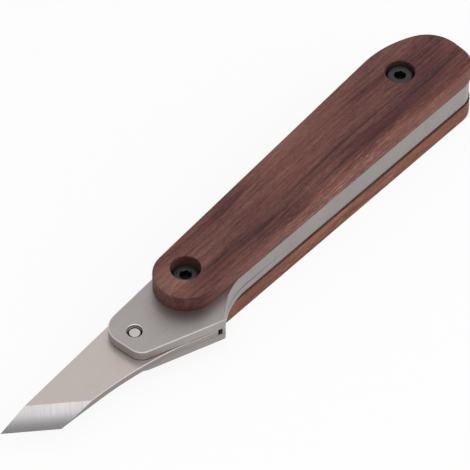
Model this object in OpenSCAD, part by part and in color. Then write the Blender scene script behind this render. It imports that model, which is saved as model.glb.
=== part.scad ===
// Leather knife with a clamped, changeable blade.
// Two steel plates hold the blade between them and two wooden scales cover the handle.
// The blade points along -X, its spine faces +Y and the knife lies on its lower scale at z = 0.
// The origin is under the front screw, on the handle's middle line.

/* [Handle outline] */
// Distance between the two screws along the handle
screw_span = 91.7; // [70:0.1:120]
// Radius of the scales' front round
front_round_r = 8.9; // [8:0.1:11]
// How far the front round's centre lies ahead of the front screw
front_round_lead = 1.1; // [0:0.1:3]
// Radius of the handle at its widest, beside the rear screw
wide_round_r = 11.95; // [10.5:0.05:14]
// How far the widest round's centre drops toward the finger side
wide_round_drop = 0.15; // [0:0.05:0.5]
// Radius of the butt's end round
butt_round_r = 10.6; // [9.5:0.1:11.5]
// How far the butt round's centre lies behind the rear screw
butt_round_back = 7.8; // [5:0.1:12]
// How far the butt round's centre drops toward the finger side
butt_round_drop = 1.7; // [0:0.1:2]
// Radius of the butt's corner on the finger side
heel_r = 6.9; // [5:0.1:9]
// How far the heel's centre lies behind the rear screw
heel_back = 11; // [9:0.1:14]
// Radius of the shoulder between the widest round and the butt, on the spine side
shoulder_r = 10.7; // [9:0.1:11.5]
// How far the shoulder swells out from the straight line between those two rounds
shoulder_swell = 0.45; // [0.1:0.05:0.7]

/* [Scales] */
// Thickness of the upper wooden scale
upper_scale_t = 5.2; // [4.8:0.1:8]
// Thickness of the lower wooden scale, which holds the nuts
lower_scale_t = 6.2; // [4.8:0.1:8]
// Rounding of each scale's outer edge
outer_round = 0.5; // [0.3:0.1:1.5]
// Bevel on the upper scale's inner edge, beside the steel
upper_ease = 0.1; // [0.05:0.05:0.6]
// Bevel on the lower scale's inner edge, beside the steel
lower_ease = 0.6; // [0.1:0.05:0.8]
// How far the scales stand proud of the steel around the handle
scale_proud = 0.3; // [0.1:0.05:0.8]
// Diameter of the screw wells in the upper scale
well_d = 8.1; // [7.6:0.1:10]
// Bevel on the rim of each screw well
well_ease = 0.2; // [0.1:0.05:0.5]

/* [Steel plates] */
// Thickness of the upper plate, which holds the blade's pocket
upper_plate_t = 5; // [4.5:0.1:7]
// Thickness of the lower plate
lower_plate_t = 2.5; // [2:0.1:4]
// Distance from the front screw to the head's nose
nose_reach = 27.2; // [25:0.1:32]
// Radius of the nose on the spine side
nose_spine_r = 6.2; // [3:0.1:7]
// Radius of the nose on the finger side
nose_finger_r = 4.2; // [2:0.1:5]
// Drop of the finger-side nose round's centre from the middle line
nose_finger_drop = 3.3; // [2:0.1:5]
// How far the guard's corner lies ahead of the front screw
guard_lead = 3.8; // [3:0.1:6]
// Drop of the guard corner's centre from the middle line
guard_drop = 14.5; // [13:0.1:17]
// Radius of the guard's corner
guard_r = 1; // [0.5:0.1:2]
// Where the guard's hollow sweep meets the handle, behind the front screw
sweep_start = 12.5; // [9:0.1:20]
// Distance from the front screw to the pocket's end wall
pocket_wall_lead = 4.5; // [4:0.1:5.5]

/* [Blade] */
// Thickness of the blade
blade_t = 2; // [1.2:0.1:2.4]
// Distance from the front screw to the blade's tip
tip_reach = 67; // [60:0.5:90]
// Width of the blade at the rear end of its cutting edge
blade_w = 11.3; // [9:0.1:13]
// Angle between the cutting edge and the spine
edge_angle = 46; // [35:1:65]
// Width of the ground bevel
bevel_w = 7; // [4:0.1:10]
// Radius of the wheel that hollowed the bevel
grind_r = 100; // [60:5:300]
// Thickness left at the cutting edge
edge_land = 0.06; // [0.03:0.01:0.15]
// Angle by which the blade widens behind its cutting edge
widen_angle = 7.2; // [5:0.1:9]
// Radius of the hollow along the blade's finger side
hollow_r = 120; // [60:1:130]
// How far the spine stands proud of the steel plates
spine_proud = 0.45; // [0:0.05:0.6]
// Gap behind the blade's tang in the pocket
tang_gap = 1.2; // [0.5:0.1:2.5]
// Gap above the blade in the pocket
blade_play = 0.05; // [0.02:0.01:0.1]

/* [Pins] */
// Diameter of the blade pin and the dowels
pin_d = 3; // [2.5:0.1:3.5]
// Distance from the front screw to the blade pin
pin_lead = 21.7; // [20:0.1:23]
// Offset of the blade pin from the middle line, toward the spine
pin_side = 0.2; // [-1:0.1:1]
// How far the blade pin's end sits below the upper plate's face
pin_sink = 0.7; // [0.2:0.1:1.2]
// Diameter of the open hole round the blade pin's end
window_d = 4.3; // [3.9:0.1:5.5]
// Distance from each screw to the dowel beside it
dowel_inset = 18; // [12:0.5:26]
// Height of each dowel above the parting line
dowel_rise = 3.5; // [2:0.1:4.2]

/* [Screws and nuts] */
// Thread diameter of the screws
screw_d = 4; // [3:0.1:4.4]
// Diameter of the screw heads
head_d = 7; // [6:0.1:7.2]
// Height of the screw heads
head_h = 4; // [3:0.1:4.4]
// Key size of the hexagon sockets
socket_key = 3; // [2:0.5:3]
// Depth of the hexagon sockets
socket_depth = 2; // [1.2:0.1:2.4]
// Offset of the front screw from the middle line, toward the spine
front_screw_side = 1.1; // [0:0.1:1.8]
// Offset of the rear screw from the middle line, toward the spine
rear_screw_side = 1.8; // [0:0.1:3]
// How deep the front screw's head is let into the upper plate
front_sink = 1.4; // [0.5:0.1:1.6]
// Key size of the nuts
nut_key = 7; // [6.5:0.1:8]
// Thickness of the nuts
nut_h = 3.2; // [2.2:0.1:3.4]
// Length of thread that stands past the nuts
thread_past = 0.3; // [0.1:0.1:0.5]

/* [Clearances] */
// Radial clearance of a pin or thread in its own bore
fit_play = 0.05; // [0.02:0.01:0.1]
// Radial clearance of a screw in a drilled hole
hole_play = 0.15; // [0.1:0.05:0.3]
// Clearance of each nut in its pocket
nut_play = 0.1; // [0.05:0.05:0.2]

/* [Hidden] */

$fn = 96;
eps = 0.01;
far = 100;
hull_sides = 64;
round_steps = 5;
arc_step = 5;

// Heights, from the face that the knife lies on
lower_plate_z = lower_scale_t;
parting_z = lower_plate_z + lower_plate_t;
upper_scale_z = parting_z + upper_plate_t;
pocket_h = blade_t + blade_play;
front_seat_z = upper_scale_z - front_sink;
rear_seat_z = upper_scale_z;
nut_z = lower_plate_z - nut_h;
thread_end_z = nut_z - thread_past;
thread_well_z = thread_end_z - thread_past;

// Small breaks on the edges of pins, screws and nuts
break_w = 0.3;

// Hexagon size across its corners
function across_corners(key) = key / cos(30);

// A disc is [x, y, radius]. Outlines run counter-clockwise along discs and their outer tangents.
function unit(angle) = [cos(angle), sin(angle)];
function centre(disc) = [disc[0], disc[1]];
function shrunk(disc, by) = [disc[0], disc[1], disc[2] - by];
function tangent_normal(a, b) = let (d = centre(b) - centre(a))
    atan2(d[1], d[0]) - 90 + asin((a[2] - b[2]) / norm(d));
function rim(disc, angle) = centre(disc) + disc[2] * unit(angle);

// Points along a disc's rim, forward from one angle to the next, or back along a hollow
function rim_points(disc, from, turn) = let (steps = ceil(abs(turn) / arc_step))
    [for (i = [0:steps]) rim(disc, from + turn * i / steps)];
function forward(from, to) = ((to - from) % 360 + 360) % 360;
function round_points(disc, from, to) = rim_points(disc, from, forward(from, to));
function hollow_points(disc, from, to) = rim_points(disc, from, -forward(to, from));

// A line is [angle of its outward normal, distance from the origin along that normal]
function tangent_line(a, b) = let (angle = tangent_normal(a, b)) [angle, unit(angle) * rim(a, angle)];
function moved(line, by) = [line[0], line[1] + by];
function line_y(line, x) = (line[1] - cos(line[0]) * x) / sin(line[0]);
function on_line(line, x) = [x, line_y(line, x)];
function disc_inside(line, x, r) = [x, line_y(moved(line, -r), x), r];
function crossing(line, start, direction) =
    start + (line[1] - unit(line[0]) * start) / (unit(line[0]) * direction) * direction;

// Handle outline of the scales
front_round = [-front_round_lead, 0, front_round_r];
wide_round = [screw_span, -wide_round_drop, wide_round_r];
finger_line = tangent_line(front_round, wide_round);
spine_line = tangent_line(wide_round, front_round);
heel_round = disc_inside(finger_line, screw_span + heel_back, heel_r);
butt_round = [screw_span + butt_round_back, -butt_round_drop, butt_round_r];
shoulder_out = unit(tangent_normal(butt_round, wide_round));
shoulder_base = centre(butt_round + wide_round) / 2 + (butt_round_r + wide_round_r) / 2 * shoulder_out;
shoulder_at = shoulder_base + (shoulder_swell - shoulder_r) * shoulder_out;
shoulder_round = [shoulder_at[0], shoulder_at[1], shoulder_r];
scale_discs = [front_round, heel_round, butt_round, shoulder_round, wide_round];

// Outline of the steel plates: the handle inside the scales, and the head in front
steel_heel = shrunk(heel_round, scale_proud);
steel_butt = shrunk(butt_round, scale_proud);
steel_shoulder = shrunk(shoulder_round, scale_proud);
steel_wide = shrunk(wide_round, scale_proud);
steel_spine_line = moved(spine_line, -scale_proud);
steel_finger_line = moved(finger_line, -scale_proud);
nose_spine = disc_inside(steel_spine_line, nose_spine_r - nose_reach, nose_spine_r);
nose_finger = [nose_finger_r - nose_reach, -nose_finger_drop, nose_finger_r];
guard = [-guard_lead, -guard_drop, guard_r];
head_line = tangent_line(nose_finger, guard);

// The guard's sweep is a hollow arc that is tangent to the handle and to the guard's corner
sweep_foot = on_line(steel_finger_line, sweep_start);
sweep_normal = unit(steel_finger_line[0]);
sweep_span = sweep_foot - centre(guard);
sweep_r = (sweep_span * sweep_span - guard_r * guard_r) / (2 * (guard_r - sweep_normal * sweep_span));
sweep_centre = sweep_foot + sweep_r * sweep_normal;
sweep = [sweep_centre[0], sweep_centre[1], sweep_r];
guard_turn = atan2(sweep_centre[1] + guard_drop, sweep_centre[0] + guard_lead);

// Outline of the blade
blade_line = moved(steel_spine_line, spine_proud);
spine_angle = blade_line[0] - 90;
edge_way = spine_angle - edge_angle;
finger_way = spine_angle - widen_angle;
blade_tip = on_line(blade_line, -tip_reach);
edge_heel = blade_tip + blade_w / sin(edge_angle) * unit(edge_way);
head_way = head_line[0] + 90;
blade_bend = crossing(head_line, edge_heel, unit(finger_way));
hollow_run = hollow_r * tan((finger_way - head_way) / 2);
hollow_front = blade_bend - hollow_run * unit(finger_way);
hollow_rear = blade_bend + hollow_run * unit(head_way);
hollow_centre = hollow_front + hollow_r * unit(finger_way - 90);
tang_x = -pocket_wall_lead - tang_gap;

// Places of the screws and pins
front_screw_at = [0, front_screw_side];
rear_screw_at = [screw_span, rear_screw_side];
blade_pin_at = [-pin_lead, pin_side];
front_dowel_at = [dowel_inset, 0];
rear_dowel_at = [screw_span - dowel_inset, 0];

// One outline for both steel plates, from the nose round the guard and the butt
module plate_outline() {
    spine_turn = spine_line[0];
    finger_turn = finger_line[0];
    head_turn = head_line[0];
    nose_turn = tangent_normal(nose_spine, nose_finger);
    heel_turn = tangent_normal(steel_heel, steel_butt);
    butt_turn = tangent_normal(steel_butt, steel_shoulder);
    shoulder_turn = tangent_normal(steel_shoulder, steel_wide);
    polygon(concat(
        round_points(nose_spine, spine_turn, nose_turn),
        round_points(nose_finger, nose_turn, head_turn),
        round_points(guard, head_turn, guard_turn),
        hollow_points(sweep, guard_turn + 180, finger_turn + 180),
        round_points(steel_heel, finger_turn, heel_turn),
        round_points(steel_butt, heel_turn, butt_turn),
        round_points(steel_shoulder, butt_turn, shoulder_turn),
        round_points(steel_wide, shoulder_turn, spine_turn)
    ));
}

module blade_outline() {
    difference() {
        polygon([
            blade_tip, edge_heel, hollow_front, hollow_rear,
            on_line(head_line, tang_x), on_line(blade_line, tang_x)
        ]);
        translate(hollow_centre)
            circle(r = hollow_r);
    }
}

// A disc with a beveled lower edge and a rounded upper edge
module eased_disc(r, h, ease) {
    outer_arc = [
        for (i = [0:round_steps])
            [r - outer_round, h - outer_round] + outer_round * unit(90 * i / round_steps)
    ];
    rotate_extrude($fn = hull_sides)
        polygon(concat([[0, 0], [r - ease, 0], [r, ease]], outer_arc, [[0, h]]));
}

// A scale with its flat inner face at z = 0 and its rounded face up
module scale_body(h, ease) {
    hull()
        for (disc = scale_discs)
            translate(centre(disc))
                eased_disc(disc[2], h, ease);
}

// A well through the upper scale, down to the steel
module screw_well(at) {
    translate([at[0], at[1], -eps])
        cylinder(d = well_d, h = upper_scale_t + 2 * eps);
    translate([at[0], at[1], upper_scale_t - well_ease])
        cylinder(d1 = well_d, d2 = well_d + 4 * well_ease, h = 2 * well_ease);
}

// A plain hole through whatever is cut
module drilled(at, d) {
    translate([at[0], at[1], -far])
        cylinder(d = d, h = 2 * far);
}

// A round pin with a small bevel at both ends
module beveled_pin(d, h) {
    r = d / 2;
    rotate_extrude()
        polygon([
            [0, 0], [r - break_w, 0], [r, break_w],
            [r, h - break_w], [r - break_w, h], [0, h]
        ]);
}

// A cap screw whose head seats at z = 0
module cap_screw(shank) {
    r = screw_d / 2;
    head_r = head_d / 2;
    difference() {
        rotate_extrude()
            polygon([
                [0, -shank], [r - break_w, -shank], [r, break_w - shank], [r, 0], [head_r, 0],
                [head_r, head_h - break_w], [head_r - break_w, head_h], [0, head_h]
            ]);
        translate([0, 0, head_h - socket_depth])
            cylinder(d = across_corners(socket_key), h = socket_depth + eps, $fn = 6);
    }
}

module hex_nut() {
    difference() {
        cylinder(d = across_corners(nut_key), h = nut_h, $fn = 6);
        drilled([0, 0], screw_d + 2 * fit_play);
    }
}

module upper_scale() {
    color("#704942")
        translate([0, 0, upper_scale_z])
            difference() {
                scale_body(upper_scale_t, upper_ease);
                screw_well(front_screw_at);
                screw_well(rear_screw_at);
            }
}

module lower_scale() {
    color("#7c5044")
        difference() {
            translate([0, 0, lower_scale_t])
                mirror([0, 0, 1])
                    scale_body(lower_scale_t, lower_ease);
            for (at = [front_screw_at, rear_screw_at])
                translate([at[0], at[1], 0]) {
                    translate([0, 0, nut_z - nut_play])
                        cylinder(d = across_corners(nut_key + 2 * nut_play), h = lower_scale_t, $fn = 6);
                    translate([0, 0, thread_well_z])
                        cylinder(d = screw_d + 2 * hole_play, h = lower_scale_t);
                }
        }
}

module upper_plate() {
    color("#9d9895")
        difference() {
            translate([0, 0, parting_z])
                linear_extrude(upper_plate_t)
                    plate_outline();
            translate([-pocket_wall_lead - far, -far, parting_z - eps])
                cube([far, 2 * far, pocket_h + eps]);
            drilled(blade_pin_at, window_d);
            for (at = [front_screw_at, rear_screw_at])
                drilled(at, screw_d + 2 * hole_play);
            translate([front_screw_at[0], front_screw_at[1], front_seat_z])
                cylinder(d = head_d + 2 * hole_play, h = far);
            for (at = [front_dowel_at, rear_dowel_at])
                drilled(at, pin_d + 2 * fit_play);
        }
}

module lower_plate() {
    color("#8f8b88")
        difference() {
            translate([0, 0, lower_plate_z])
                linear_extrude(lower_plate_t)
                    plate_outline();
            for (at = [blade_pin_at, front_dowel_at, rear_dowel_at])
                drilled(at, pin_d);
            for (at = [front_screw_at, rear_screw_at])
                drilled(at, screw_d + 2 * hole_play);
        }
}

// The bevel is hollow ground on the upper face, so the lower face is flat to the edge
module blade() {
    bevel_rise = blade_t - edge_land;
    bevel_slant = norm([bevel_w, bevel_rise]);
    wheel_reach = sqrt(grind_r * grind_r - bevel_slant * bevel_slant / 4);
    wheel_at = [bevel_w, blade_t + edge_land] / 2 + wheel_reach / bevel_slant * [-bevel_rise, bevel_w];
    color("#bdb4ad")
        translate([0, 0, parting_z])
            difference() {
                linear_extrude(blade_t)
                    blade_outline();
                translate(blade_tip)
                    rotate([0, 0, edge_way])
                        translate([-far, wheel_at[0], wheel_at[1]])
                            rotate([0, 90, 0])
                                cylinder(r = grind_r, h = 2 * far);
                drilled(blade_pin_at, pin_d + 2 * fit_play);
            }
}

module blade_pin() {
    color("#d9d5d3")
        translate([blade_pin_at[0], blade_pin_at[1], lower_plate_z])
            beveled_pin(pin_d, lower_plate_t + upper_plate_t - pin_sink);
}

module dowel(at) {
    color("#c9c6c4")
        translate([at[0], at[1], lower_plate_z])
            beveled_pin(pin_d, lower_plate_t + dowel_rise);
}

module front_dowel() {
    dowel(front_dowel_at);
}

module rear_dowel() {
    dowel(rear_dowel_at);
}

module placed_screw(at, seat_z) {
    color("#232427")
        translate([at[0], at[1], seat_z])
            cap_screw(seat_z - thread_end_z);
}

module front_screw() {
    placed_screw(front_screw_at, front_seat_z);
}

module rear_screw() {
    placed_screw(rear_screw_at, rear_seat_z);
}

module placed_nut(at) {
    color("#3a3b3e")
        translate([at[0], at[1], nut_z])
            hex_nut();
}

module front_nut() {
    placed_nut(front_screw_at);
}

module rear_nut() {
    placed_nut(rear_screw_at);
}

upper_scale();
lower_scale();
upper_plate();
lower_plate();
blade();
blade_pin();
front_dowel();
rear_dowel();
front_screw();
rear_screw();
front_nut();
rear_nut();
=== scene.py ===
import math

import bmesh
import bpy
from mathutils import Euler, Matrix, Vector


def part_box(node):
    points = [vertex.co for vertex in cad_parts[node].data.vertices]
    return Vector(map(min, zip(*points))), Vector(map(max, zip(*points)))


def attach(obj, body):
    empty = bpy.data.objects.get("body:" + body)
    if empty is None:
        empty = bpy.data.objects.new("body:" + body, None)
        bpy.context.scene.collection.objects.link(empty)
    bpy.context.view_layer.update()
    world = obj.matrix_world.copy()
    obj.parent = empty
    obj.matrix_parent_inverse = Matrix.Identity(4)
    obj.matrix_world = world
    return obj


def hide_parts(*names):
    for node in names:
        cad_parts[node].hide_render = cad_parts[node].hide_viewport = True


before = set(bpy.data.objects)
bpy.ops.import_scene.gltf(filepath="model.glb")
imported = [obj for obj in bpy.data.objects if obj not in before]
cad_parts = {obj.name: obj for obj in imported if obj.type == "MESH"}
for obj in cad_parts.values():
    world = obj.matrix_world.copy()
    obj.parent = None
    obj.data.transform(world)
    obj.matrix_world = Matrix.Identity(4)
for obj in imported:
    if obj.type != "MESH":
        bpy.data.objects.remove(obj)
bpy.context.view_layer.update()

# Pieces are drawn in millimetres and scaled to metres when they are finished
MM = 0.001
TURN = 2 * math.pi
UP = (0, 0, 1)

# Steps of an outline's rounds: the most that one turns and reaches. Sides of a turned piece
ARC_STEP = math.radians(3)
ARC_REACH = 0.6
ROUND_SIDES = 96

# Steps across an edge that is rounded, broken or plainly beveled
ROUNDED = 6
BROKEN = 2
BEVELED = 1

# Tolerances: at a height, merged into one point, on a line, on the grinding wheel
AT_HEIGHT = 1e-4
MERGED = 1e-5
ON_LINE = 0.01
ON_WHEEL = 0.02

# Room: a hair inside the solids, the fit of pins and tang, and a cutter's overrun
HAIR = 0.004
FIT = 0.05
PAST = 1.0

# Angles past which an edge is shaded sharp, in degrees
SHARP = 32
BLADE_SHARP = 12
SCREW_SHARP = 25


def node_height(node):
    """Lowest and highest z of a node of the frame, in millimetres."""
    low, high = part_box(node)
    return low.z / MM, high.z / MM


def node_middle(node):
    """Plan position of the middle of a node of the frame, in millimetres."""
    low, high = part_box(node)
    return (low.x + high.x) / 2 / MM, (low.y + high.y) / 2 / MM


# Heights, from the frame
REST_Z, LOWER_PLATE_Z = node_height("lower_scale")
PARTING_Z = node_height("lower_plate")[1]
UPPER_SCALE_Z, TOP_Z = node_height("upper_scale")
BLADE_T = node_height("blade")[1] - PARTING_Z
BLADE_TOP_Z = PARTING_Z + BLADE_T
NUT_Z = node_height("front_nut")[0]
THREAD_END_Z, FRONT_HEAD_Z = node_height("front_screw")

# Places of the fasteners, from the frame
FRONT_SCREW_AT = node_middle("front_screw")
REAR_SCREW_AT = node_middle("rear_screw")
SCREWS_AT = (FRONT_SCREW_AT, REAR_SCREW_AT)
BLADE_PIN_AT = node_middle("blade_pin")
FRONT_DOWEL_AT = node_middle("front_dowel")
REAR_DOWEL_AT = node_middle("rear_dowel")
SCREW_SPAN = REAR_SCREW_AT[0]

# Handle outline: discs of the scales as (x, y, radius)
FRONT_ROUND = (-1.1, 0.0, 8.9 - HAIR)
WIDE_ROUND = (SCREW_SPAN, -0.15, 11.95 - HAIR)
BUTT_ROUND = (SCREW_SPAN + 7.8, -1.7, 10.6 - HAIR)
HEEL_R = 6.9
HEEL_X = SCREW_SPAN + 11.0
SHOULDER_R = 31.0

# Scales: how far they stand proud of the steel, and their rims outside and beside it
SCALE_PROUD = 0.3
UPPER_ROUND = 0.45
LOWER_ROUND = 0.35
UPPER_EASE = 0.04
LOWER_EASE = 0.6
WELL_R = 4.05
WELL_EASE = 0.2

# Head outline of the steel plates
NOSE_REACH = 27.2
NOSE_SPINE_R = 6.2
NOSE_FINGER_R = 4.2
NOSE_FINGER_DROP = 3.3
GUARD = (-3.8, -14.5, 1.0 - HAIR)
SWEEP_START = 12.5

# Steel plates: the blade's pocket, the broken rims and the window over the blade's pin
POCKET_WALL = -4.5
POCKET_REACH = 100
POCKET_H = BLADE_T + FIT
POCKET_TOP_Z = PARTING_Z + POCKET_H
POCKET_BREAK = 0.14
PLATE_BREAK = 0.3
FOOT_BREAK = 0.06
SEAM_BREAK = 0.02
WINDOW_R = 2.1
WINDOW_ROUND = 0.25
MOUTH_TURNS = [math.radians(degrees) for degrees in (0, 25, 50, 75)]

# Blade
TIP_REACH = 67.0
BLADE_W = 11.3
EDGE_ANGLE = math.radians(46)
WIDEN_ANGLE = math.radians(7.2)
HOLLOW_R = 120.0
HOLLOW_STEPS = 24
SPINE_PROUD = 0.45
TANG_END = -5.7
BLADE_BREAK = 0.12
BLADE_FINGER_BREAK = 0.2
BLADE_FOOT_BREAK = 0.04

# Bevel, and the sector of the grinding wheel, which leads the tip and outruns the edge
BEVEL_W = 7.0
GRIND_R = 100.0
EDGE_LAND = 0.06
WHEEL_START = math.radians(-97)
WHEEL_TURN = math.radians(34)
WHEEL_STEPS = 170
WHEEL_WIDE = 60
WHEEL_LEAD = 20

# Pins
PIN_R = 1.5
PIN_BREAK = 0.05

# Shanks: the thread's ridge has its root a little under the core's skin and runs out under the head
SCREW_R = 2.0
HOLE_R = 2.15
THREAD_PITCH = 0.7
THREAD_DEPTH = 0.4
THREAD_ROOT = 0.03
THREAD_HALF = THREAD_PITCH * 0.42
THREAD_STEPS = 24
THREAD_START = 0.3
THREAD_ROOM = 0.3
TAIL_IN = 0.3
TAIL_UP = 0.35
NECK_LOW = 1.2
NECK_HIGH = 0.9

# Screw heads: broken foot, rounded top, knurl, and a socket whose mouth is broken by a cone
HEAD_R = 3.5
HEAD_H = 4.0
HEAD_ROOM = 0.15
HEAD_FOOT = 0.12
HEAD_ROUND = 0.45
HEAD_CORNER = 0.14
KNURL_DEPTH = 0.11
FRONT_SEAT_Z = FRONT_HEAD_Z - HEAD_H
SOCKET_KEY = 3.0
SOCKET_DEPTH = 2.0
CONE_DEEP = 0.4
CONE_IN = 0.35
CONE_OUT = 0.15
CONE_OVER = 0.1

# Nuts and the room of their pockets
NUT_KEY = 7.0
NUT_ROOM = 0.2
NUT_SINK = 0.1
NUT_FACE_IN = 0.1
NUT_CORNER_OVER = 0.1
NUT_CORNER_DOWN = 0.45


# Outline geometry
def spoke(angle):
    """Unit vector at an angle in the plan."""
    return Vector((math.cos(angle), math.sin(angle)))


def hub(disc):
    """Centre of a disc."""
    return Vector(disc[:2])


def rim(disc, angle):
    """Point on a disc's rim."""
    return hub(disc) + disc[2] * spoke(angle)


def bearing(way):
    """Angle of a vector in the plan."""
    return math.atan2(way.y, way.x)


def tangent_turn(a, b):
    """Angle of the outward normal of the outer tangent that runs from disc a on to disc b."""
    way = hub(b) - hub(a)
    return bearing(way) - math.pi / 2 + math.asin((a[2] - b[2]) / way.length)


def tangent_line(a, b):
    """Outer tangent as (angle of its normal, distance from the origin)."""
    angle = tangent_turn(a, b)
    return angle, spoke(angle).dot(rim(a, angle))


def moved(line, by):
    """A line pushed out along its normal."""
    return line[0], line[1] + by


def on_line(line, x):
    """The point of a line at an x."""
    return Vector((x, (line[1] - math.cos(line[0]) * x) / math.sin(line[0])))


def disc_inside(line, x, r):
    """A disc that touches a line from inside."""
    return x, on_line(moved(line, -r), x).y, r


def crossing(line, start, way):
    """Where a ray meets a line."""
    normal = spoke(line[0])
    return start + (line[1] - normal.dot(start)) / normal.dot(way) * way


def round_stop(disc, start, end):
    """A stretch of outline that goes forward round a disc."""
    return disc, start, (end - start) % TURN


def hollow_stop(disc, start, end):
    """A stretch of outline that goes back round a disc and so is hollow."""
    return disc, start, -((start - end) % TURN)


finger_line = tangent_line(FRONT_ROUND, WIDE_ROUND)
spine_line = tangent_line(WIDE_ROUND, FRONT_ROUND)
HEEL_ROUND = disc_inside(finger_line, HEEL_X, HEEL_R)
FINGER_TURN = finger_line[0]
SPINE_TURN = spine_line[0]


def shoulder_disc():
    """The long round that leads from the butt's round into the straight spine, tangent to both."""
    out = spoke(SPINE_TURN)
    depth = out.dot(hub(BUTT_ROUND)) - spine_line[1] + SHOULDER_R
    back = math.sqrt((SHOULDER_R - BUTT_ROUND[2]) ** 2 - depth ** 2)
    centre = hub(BUTT_ROUND) - depth * out - back * Vector((out.y, -out.x))
    return centre.x, centre.y, SHOULDER_R


SHOULDER_ROUND = shoulder_disc()


def butt_stops(heel, butt, shoulder):
    """The rear end of the handle, from the finger side to the spine."""
    heel_turn = tangent_turn(heel, butt)
    shoulder_turn = bearing(hub(butt) - hub(shoulder))
    return [
        round_stop(heel, FINGER_TURN, heel_turn),
        round_stop(butt, heel_turn, shoulder_turn),
        round_stop(shoulder, shoulder_turn, SPINE_TURN),
    ]


def scale_stops():
    """Outline of both wooden scales."""
    front = round_stop(FRONT_ROUND, SPINE_TURN, FINGER_TURN)
    return [front] + butt_stops(HEEL_ROUND, BUTT_ROUND, SHOULDER_ROUND)


steel_spine_line = moved(spine_line, -SCALE_PROUD)
steel_finger_line = moved(finger_line, -SCALE_PROUD)
NOSE_SPINE = disc_inside(steel_spine_line, NOSE_SPINE_R - NOSE_REACH, NOSE_SPINE_R)
NOSE_FINGER = (NOSE_FINGER_R - NOSE_REACH, -NOSE_FINGER_DROP, NOSE_FINGER_R)
head_line = tangent_line(NOSE_FINGER, GUARD)


def sweep_disc():
    """The hollow between the guard's corner and the handle, tangent to both."""
    foot = on_line(steel_finger_line, SWEEP_START)
    normal = spoke(FINGER_TURN)
    span = foot - hub(GUARD)
    r = (span.dot(span) - GUARD[2] ** 2) / (2 * (GUARD[2] - normal.dot(span)))
    centre = foot + r * normal
    return centre.x, centre.y, r


def plate_stops():
    """Outline of both steel plates."""
    sweep = sweep_disc()
    nose_turn = tangent_turn(NOSE_SPINE, NOSE_FINGER)
    guard_turn = bearing(hub(sweep) - hub(GUARD))
    head = [
        round_stop(NOSE_SPINE, SPINE_TURN, nose_turn),
        round_stop(NOSE_FINGER, nose_turn, head_line[0]),
        round_stop(GUARD, head_line[0], guard_turn),
        hollow_stop(sweep, guard_turn + math.pi, FINGER_TURN + math.pi),
    ]
    scale_rounds = (HEEL_ROUND, BUTT_ROUND, SHOULDER_ROUND)
    return head + butt_stops(*[(x, y, r - SCALE_PROUD) for x, y, r in scale_rounds])


# Mesh building blocks
def verts_in(parts):
    """The vertices among the parts that an operator made."""
    return [part for part in parts if isinstance(part, bmesh.types.BMVert)]


def slid(bm, way):
    """Moves a whole bmesh."""
    bmesh.ops.translate(bm, vec=way, verts=bm.verts[:])


def outward(bm):
    """Turns all faces outwards."""
    bmesh.ops.recalc_face_normals(bm, faces=bm.faces[:])


def arc_end(bm, vert, centre, axis, turn, steps):
    """Spins a vertex into an arc and gives the arc's far end."""
    made = bmesh.ops.spin(bm, geom=[vert], cent=centre, axis=axis, angle=turn, steps=steps)
    return verts_in(made["geom_last"])[0]


def outline_face(stops):
    """A flat face at z = 0 whose rim goes round discs and straight from one to the next."""
    bm = bmesh.new()
    first = last = None
    for disc, start, turn in stops:
        vert = bm.verts.new((*rim(disc, start), 0))
        if last:
            bm.edges.new((last, vert))
        first = first or vert
        steps = max(1, math.ceil(abs(turn) / min(ARC_STEP, ARC_REACH / disc[2])))
        last = arc_end(bm, vert, (*hub(disc), 0), UP, turn, steps)
    bm.edges.new((last, first))
    bmesh.ops.contextual_create(bm, geom=bm.edges[:])
    return bm


def drawn_out(bm, faces, way):
    """Draws faces out along a way."""
    made = bmesh.ops.extrude_face_region(bm, geom=faces)
    bmesh.ops.translate(bm, vec=way, verts=verts_in(made["geom"]))


def raised(bm, low, high):
    """The flat face pulled up into a slab from one height to another."""
    drawn_out(bm, bm.faces[:], (0, 0, high - low))
    slid(bm, (0, 0, low))
    outward(bm)
    return bm


def lies_at(edge, height):
    """True for an edge at a height."""
    return all(abs(vert.co.z - height) < AT_HEIGHT for vert in edge.verts)


def broken(bm, edges, width, steps, clamp=False):
    """Bevels or rounds edges."""
    bmesh.ops.bevel(
        bm, geom=edges, offset=width, offset_type="OFFSET", segments=steps, profile=0.5,
        affect="EDGES", clamp_overlap=clamp, material=-1,
    )


def eased(bm, height, width, steps, keep=None):
    """Bevels or rounds a slab's rim at one height, or only the edges of it that are kept."""
    rim_edges = [edge for edge in bm.edges if lies_at(edge, height) and (keep is None or keep(edge))]
    broken(bm, rim_edges, width, steps)


def turned(profile, at=(0, 0)):
    """A turned solid about the upright line through a point, from (radius, height) pairs."""
    bm = bmesh.new()
    verts = [bm.verts.new((r, 0, z)) for r, z in profile]
    edges = [bm.edges.new(pair) for pair in zip(verts, verts[1:])]
    bmesh.ops.spin(
        bm, geom=verts + edges, cent=(0, 0, 0), axis=UP, angle=TURN, steps=ROUND_SIDES, use_merge=True,
    )
    bmesh.ops.remove_doubles(bm, verts=bm.verts[:], dist=MERGED)
    outward(bm)
    slid(bm, (*at, 0))
    return bm


def drill(at, r, low, high, break_w=0.0):
    """A drill for a round hole, whose upper mouth may be broken."""
    over = high + break_w
    return turned([(0, low), (r, low), (r, high - break_w), (r + 2 * break_w, over), (0, over)], at)


def window_drill(at, r, low, high, mouth_r):
    """A drill for a round hole whose mouth is rounded over."""
    mouth = [(r + mouth_r * (1 - math.cos(t)), high - mouth_r * (1 - math.sin(t))) for t in MOUTH_TURNS]
    over = (2 * mouth[-1][0] - mouth[-2][0], 2 * mouth[-1][1] - mouth[-2][1])
    return turned([(0, low), (r, low), *mouth, over, (0, over[1])], at)


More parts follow.
